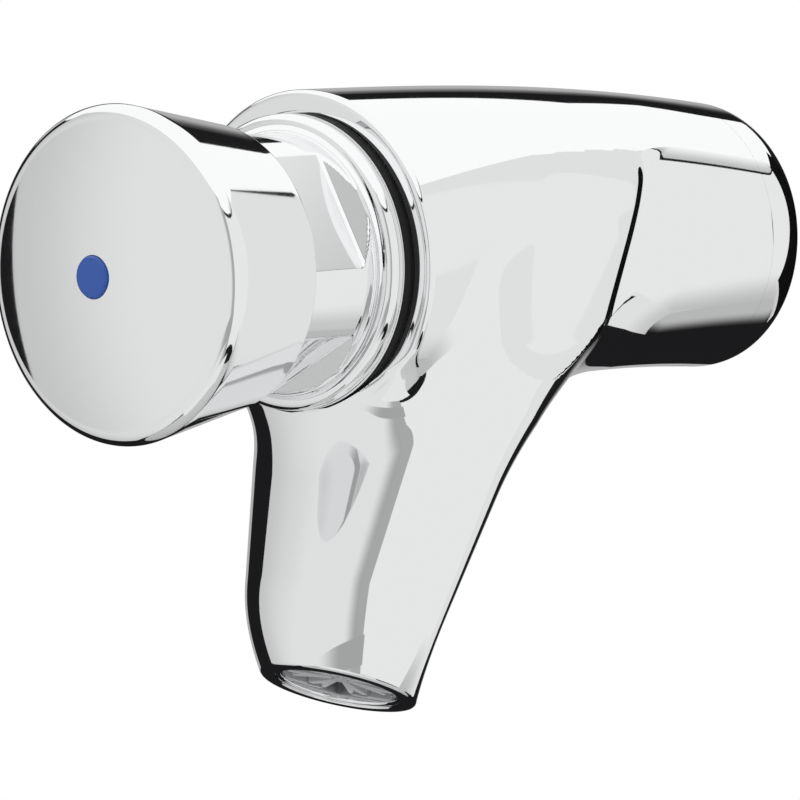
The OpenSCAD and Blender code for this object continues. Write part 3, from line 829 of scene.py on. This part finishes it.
tree.links.new(given.outputs["Height"], spiral.inputs["Height"])
tree.links.new(given.outputs["Wire"], wire.inputs["Radius"])
tree.links.new(given.outputs["Rear"], shift.inputs["Y"])
tree.links.new(spiral.outputs["Curve"], sweep.inputs["Curve"])
tree.links.new(wire.outputs["Curve"], sweep.inputs["Profile Curve"])
tree.links.new(sweep.outputs["Mesh"], smooth.inputs["Geometry"])
tree.links.new(smooth.outputs["Geometry"], lie.inputs["Geometry"])
tree.links.new(shift.outputs["Vector"], lie.inputs["Translation"])
finishTree(tree, lie.outputs["Geometry"], drawnSteel, out)
spring = bpy.data.objects.new("returnSpring", bpy.data.meshes.new("returnSpring"))
bpy.context.scene.collection.objects.link(spring)
bakeNodes(spring, tree, {
    "Radius": springSize["radius"] * mm, "Wire": springSize["wire"] * mm, "Turns": springSize["turns"],
    "Height": (springSize["front"] - springSize["rear"]) * mm, "Rear": -springSize["rear"] * mm,
})
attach(spring, "tap")
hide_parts("return_spring")
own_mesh(spring)
print("spring", len(spring.data.vertices), "points")

# Outlet: a chrome ring and a star of forked arms, made along Y and then laid on the spout's axis
toSpout = Matrix((
    (1, 0, 0, 0), (0, -leanSin, leanCos, outletY * mm), (0, -leanCos, -leanSin, outletZ * mm), (0, 0, 0, 1),
))
ringSize = {
    "outer": 9.78, "outerEdge": 0.3, "mouth": 8.9, "mouthEdge": 0.4, "foot": 0.3, "top": 7.9,
    "seat": 7.7, "seatAt": 6.6,
}
edge, mouthEdge = ringSize["outerEdge"], ringSize["mouthEdge"]
ringRows = arcPoints(ringSize["outer"] - edge, ringSize["foot"] + edge, edge, -90, 0, 5)
ringRows += [(ringSize["outer"], ringSize["top"])]
mouthRows = [(ringSize["mouth"], ringSize["seatAt"])]
mouthRows += arcPoints(ringSize["mouth"] + mouthEdge, ringSize["foot"] + mouthEdge, mouthEdge, 180, 270, 5)
mouthRows += [(ringSize["outer"] - edge, ringSize["foot"])]
outletRing = turnedObject("outletRing", [mouthRows, ringRows] + sharpTurn([
    (ringSize["outer"], ringSize["top"]), (ringSize["seat"], ringSize["top"]),
    (ringSize["seat"], ringSize["seatAt"]), (ringSize["mouth"], ringSize["seatAt"]),
]), 128, headChrome)
outletRing.data.transform(toSpout)
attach(outletRing, "tap")
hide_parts("outlet_ring")

# The star's arms are forked at the ring, and their lower edge is a little smaller
starSize = {
    "arms": 8, "turn": 22.5, "foot": 1.6, "top": 6.6, "edge": 0.12, "hub": 1.7, "hubEdge": 0.2,
    "ringFoot": 3.2, "ringInner": 8.0, "ringOuter": 8.88,
}
armOutline = [(1.0, -0.35), (8.3, -1.5), (8.3, -0.8), (6.3, 0.0), (8.3, 0.8), (8.3, 1.5), (1.0, 0.35)]
lowOutline = [(1.0, -0.25), (8.15, -1.34), (8.15, -0.9), (5.95, 0.0), (8.15, 0.9), (8.15, 1.34), (1.0, 0.25)]
points = [(u, -starSize["foot"], w) for u, w in lowOutline]
points += [(u, -starSize["foot"] - starSize["edge"], w) for u, w in armOutline]
points += [(u, -starSize["top"], w) for u, w in armOutline]
faces = skinFaces(3, len(armOutline))
faces += [(0, 3, 2, 1), (0, 6, 5, 4, 3), (14, 15, 16, 17), (14, 17, 18, 19, 20)]
arm = makeObject("starArm", points, faces, greyAcetal)
arm.data.polygons.foreach_set("use_smooth", [False] * len(arm.data.polygons))
starRing = [
    (starSize["ringInner"], starSize["ringFoot"]), (starSize["ringOuter"], starSize["ringFoot"]),
    (starSize["ringOuter"], starSize["top"]), (starSize["ringInner"], starSize["top"]),
]
starHub = [
    (0, starSize["foot"]), (starSize["hub"] - starSize["hubEdge"], starSize["foot"]),
    (starSize["hub"], starSize["foot"] + starSize["hubEdge"]), (starSize["hub"], starSize["top"]),
    (0, starSize["top"]),
]
star = turnedObject("flowStar", sharpTurn(starRing + starRing[:1]) + sharpTurn(starHub), 96, greyAcetal)
starInputs = [("Geometry", "Geometry"), ("Arm", "Object"), ("Arms", "Int"), ("Turn", "Float")]
tree, given, out = nodeTree("starArms", starInputs)
armShape = addNode(tree, "GeometryNodeObjectInfo")
spots = addNode(tree, "GeometryNodePoints")
number = addNode(tree, "GeometryNodeInputIndex")
share = addNode(tree, "ShaderNodeMath", operation="DIVIDE")
angle = addNode(tree, "ShaderNodeMath", operation="MULTIPLY_ADD")
angle.inputs[1].default_value = 2 * math.pi
spin = addNode(tree, "ShaderNodeCombineXYZ")
copies = addNode(tree, "GeometryNodeInstanceOnPoints")
joined = addNode(tree, "GeometryNodeJoinGeometry")
tree.links.new(given.outputs["Arm"], armShape.inputs["Object"])
tree.links.new(given.outputs["Arms"], spots.inputs["Count"])
tree.links.new(number.outputs["Index"], share.inputs[0])
tree.links.new(given.outputs["Arms"], share.inputs[1])
tree.links.new(share.outputs["Value"], angle.inputs[0])
tree.links.new(given.outputs["Turn"], angle.inputs[2])
tree.links.new(angle.outputs["Value"], spin.inputs["Y"])
tree.links.new(spots.outputs["Points"], copies.inputs["Points"])
tree.links.new(armShape.outputs["Geometry"], copies.inputs["Instance"])
tree.links.new(spin.outputs["Vector"], copies.inputs["Rotation"])
tree.links.new(copies.outputs["Instances"], joined.inputs["Geometry"])
tree.links.new(given.outputs["Geometry"], joined.inputs["Geometry"])
finishTree(tree, joined.outputs["Geometry"], greyAcetal, out)
bakeNodes(star, tree, {"Arm": arm, "Arms": starSize["arms"], "Turn": math.radians(starSize["turn"])})
bpy.data.objects.remove(arm)
star.data.transform(toSpout)
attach(star, "tap")
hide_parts("flow_straightener")
print("outlet ring and star", len(star.data.vertices), "points")

# Studio: pale floor well below, light panels all round and dark gaps between them
centre = np.array([0.0, -0.06, -0.02])
floorSize = {"half": 1.6, "height": -2.4}
h, floorZ = floorSize["half"], floorSize["height"]
floorMesh = bpy.data.meshes.new("floor")
floorCorners = [(-h, -h, floorZ), (h, -h, floorZ), (h, h, floorZ), (-h, h, floorZ)]
floorMesh.from_pydata(floorCorners, [], [(0, 1, 2, 3)])
floorMat, floorShader = newMaterial("paleFloor")[::2]
floorShader.inputs["Base Color"].default_value = (0.82, 0.82, 0.82, 1)
floorShader.inputs["Roughness"].default_value = 0.8
floorMesh.materials.append(floorMat)
floor = bpy.data.objects.new("floor", floorMesh)
bpy.context.scene.collection.objects.link(floor)


def direction(az, el):
    a, e = np.radians(az), np.radians(el)
    return np.array([np.sin(a) * np.cos(e), -np.cos(a) * np.cos(e), np.sin(e)])


# A glowing piece of a sphere round the tap, hidden from the camera, that can fade across or upwards
def lightPanel(name, az, el, strength, fade=(), reach=3.0, lean=0.0):
    nu, nv = 40, 24
    points, faces, across = [], [], []
    for j in range(nv + 1):
        for i in range(nu + 1):
            u, v = i / nu, j / nv
            aim = direction(az[0] + (az[1] + lean * v - az[0]) * u, el[0] + (el[1] - el[0]) * v)
            points.append(tuple(centre + reach * aim))
            across.append((u, v))
    for j in range(nv):
        for i in range(nu):
            k = j * (nu + 1) + i
            faces.append((k, k + 1, k + nu + 2, k + nu + 1))
    mesh = bpy.data.meshes.new(name)
    mesh.from_pydata(points, [], faces)
    layer = mesh.uv_layers.new(name="across")
    for loop in mesh.loops:
        layer.data[loop.index].uv = across[loop.vertex_index]
    mat = bpy.data.materials.new(name)
    mat.use_nodes = True
    tree = mat.node_tree
    tree.nodes.clear()
    out = addNode(tree, "ShaderNodeOutputMaterial")
    glow = addNode(tree, "ShaderNodeEmission")
    glow.inputs["Strength"].default_value = strength
    coord = addNode(tree, "ShaderNodeUVMap")
    split = addNode(tree, "ShaderNodeSeparateXYZ")
    tree.links.new(coord.outputs["UV"], split.inputs["Vector"])
    level = None
    for axis, start, end in fade:
        ramp = addNode(tree, "ShaderNodeMapRange")
        ramp.interpolation_type = "SMOOTHSTEP"
        ramp.inputs["From Min"].default_value = start[0]
        ramp.inputs["From Max"].default_value = end[0]
        ramp.inputs["To Min"].default_value = start[1]
        ramp.inputs["To Max"].default_value = end[1]
        tree.links.new(split.outputs[axis], ramp.inputs["Value"])
        if level is None:
            level = ramp.outputs["Result"]
        else:
            both = addNode(tree, "ShaderNodeMath", operation="MULTIPLY")
            tree.links.new(level, both.inputs[0])
            tree.links.new(ramp.outputs["Result"], both.inputs[1])
            level = both.outputs["Value"]
    if level is not None:
        tree.links.new(level, glow.inputs["Color"])
    tree.links.new(glow.outputs["Emission"], out.inputs["Surface"])
    mesh.materials.append(mat)
    obj = bpy.data.objects.new(name, mesh)
    bpy.context.scene.collection.objects.link(obj)
    obj.visible_camera = False


# Spans in degrees from the button's front; a fade is an axis with two pairs of place and level
lightPanels = {
    "frontPanel": {
        "az": (-72, 46), "el": (-50, 36), "strength": 0.81, "reach": 2.95,
        "fade": [("X", (0.0, 0.74), (0.36, 1.0)), ("X", (0.86, 1.0), (1.0, 0.5))],
    },
    "gapPanel": {"az": (46, 56), "el": (-50, 31), "strength": 0.42},
    "lowFrontPanel": {
        "az": (-2, 58), "el": (-35, -22), "strength": 0.81, "reach": 2.9,
        "fade": [("X", (0.0, 1.0), (0.5, 0.49))],
    },
    "mouthPanel": {"az": (-20, 80), "el": (-68, -49.5), "strength": 0.85, "reach": 2.4},
    "leftPanel": {"az": (250, 266), "el": (20, 31.5), "strength": 0.6, "reach": 2.97},
    "rightPanel": {"az": (56, 131), "el": (-44, 28.6), "strength": 0.87},
    "rightRearPanel": {
        "az": (130, 153.5), "el": (-52, 28.6), "strength": 0.87, "reach": 2.99,
        "fade": [("Y", (0.14, 0.6), (0.34, 1.0))],
    },
    "greyPanel": {
        "az": (110, 153), "el": (29.7, 36), "strength": 1.05, "reach": 2.9,
        "fade": [("Y", (0.0, 0.54), (1.0, 1.0))],
    },
    "sidePanel": {"az": (153, 170), "el": (-0.1, 26.7), "strength": 0.81},
    "slantPanel": {"az": (153, 187), "el": (-12.1, 0), "strength": 0.81, "reach": 2.98, "lean": -17},
    "lowSidePanel": {
        "az": (153, 181), "el": (-38, -12), "strength": 0.81, "fade": [("Y", (0.0, 0.75), (0.4, 1.0))],
    },
    "lowEdgePanel": {
        "az": (153, 177), "el": (-44, -38), "strength": 0.52, "fade": [("X", (0.4, 1.0), (1.0, 0.06))],
    },
    "behindPanel": {
        "az": (203, 250), "el": (-14, 24), "strength": 0.45,
        "fade": [("X", (0.0, 0.2), (0.3, 1.0)), ("Y", (0.75, 1.0), (1.0, 0.15))],
    },
    "overPanel": {"az": (153, 198), "el": (26.5, 31.3), "strength": 1.05, "reach": 2.96},
    "topPanel": {"az": (0, 360), "el": (31, 90), "strength": 1.05},
}
for name, panel in lightPanels.items():
    lightPanel(name, **panel)

# A narrow black flag stands behind the wall plane and darkens the seam and the wall edge
flagSize = {
    "behind": 0.03, "low": -0.035, "lowSpan": (0.012, 0.049), "high": 0.033, "highSpan": (0.024, 0.04),
}
flagCorners = [(x, flagSize["behind"], flagSize["low"]) for x in flagSize["lowSpan"]]
flagCorners += [(x, flagSize["behind"], flagSize["high"]) for x in flagSize["highSpan"][::-1]]
flagMesh = bpy.data.meshes.new("blackFlag")
flagMesh.from_pydata(flagCorners, [], [(0, 1, 2, 3)])
flagMat, flagShader = newMaterial("blackFlag")[::2]
flagShader.inputs["Base Color"].default_value = (0.008, 0.008, 0.008, 1)
flagShader.inputs["Roughness"].default_value = 1
flagShader.inputs["Specular IOR Level"].default_value = 0
flagMesh.materials.append(flagMat)
flag = bpy.data.objects.new("blackFlag", flagMesh)
bpy.context.scene.collection.objects.link(flag)
flag.visible_camera = False

world = bpy.data.worlds.new("studio")
bpy.context.scene.world = world
world.use_nodes = True
tree = world.node_tree
tree.nodes.clear()
out = addNode(tree, "ShaderNodeOutputWorld")
seen = addNode(tree, "ShaderNodeBackground")
seen.inputs["Color"].default_value = (1, 1, 1, 1)
seen.inputs["Strength"].default_value = 1
dark = addNode(tree, "ShaderNodeBackground")
dark.inputs["Color"].default_value = (0.012, 0.012, 0.013, 1)
dark.inputs["Strength"].default_value = 1
pick = addNode(tree, "ShaderNodeMixShader")
path = addNode(tree, "ShaderNodeLightPath")
tree.links.new(path.outputs["Is Camera Ray"], pick.inputs["Fac"])
tree.links.new(dark.outputs["Background"], pick.inputs[1])
tree.links.new(seen.outputs["Background"], pick.inputs[2])
tree.links.new(pick.outputs["Shader"], out.inputs["Surface"])
print("studio ready")

# Camera at the photograph's angle, found from the round edges of the button, flange and body
cameraSize = {
    "azimuth": 42.068, "elevation": 2.037, "roll": -3.83, "offset": (-14.78, -20.92, 800.0),
    "focal": 5303.0, "pixels": 800, "sensor": 36, "near": 0.05, "far": 20,
}
az, roll = math.radians(cameraSize["azimuth"]), math.radians(cameraSize["roll"])
backward = direction(cameraSize["azimuth"], cameraSize["elevation"])
right = np.array([math.cos(az), math.sin(az), 0])
down = -np.cross(backward, right)
rolled = np.array([[math.cos(roll), -math.sin(roll), 0], [math.sin(roll), math.cos(roll), 0], [0, 0, 1]])
turned = rolled @ np.stack([right, down, -backward])
place = -turned.T @ np.array(cameraSize["offset"]) + np.array([0, -bodySize["length"], 0])
camera = bpy.data.objects.new("photoCamera", bpy.data.cameras.new("photoCamera"))
camera.data.sensor_width = cameraSize["sensor"]
camera.data.lens = cameraSize["focal"] / cameraSize["pixels"] * cameraSize["sensor"]
camera.data.clip_start = cameraSize["near"]
camera.data.clip_end = cameraSize["far"]
matrix = Matrix.Identity(4)
for i in range(3):
    for k, sign in enumerate((1, -1, -1)):
        matrix[i][k] = sign * turned[k][i]
    matrix[i][3] = place[i] * mm
camera.matrix_world = matrix
bpy.context.scene.collection.objects.link(camera)
bpy.context.scene.camera = camera
bpy.context.scene.view_settings.view_transform = "Standard"
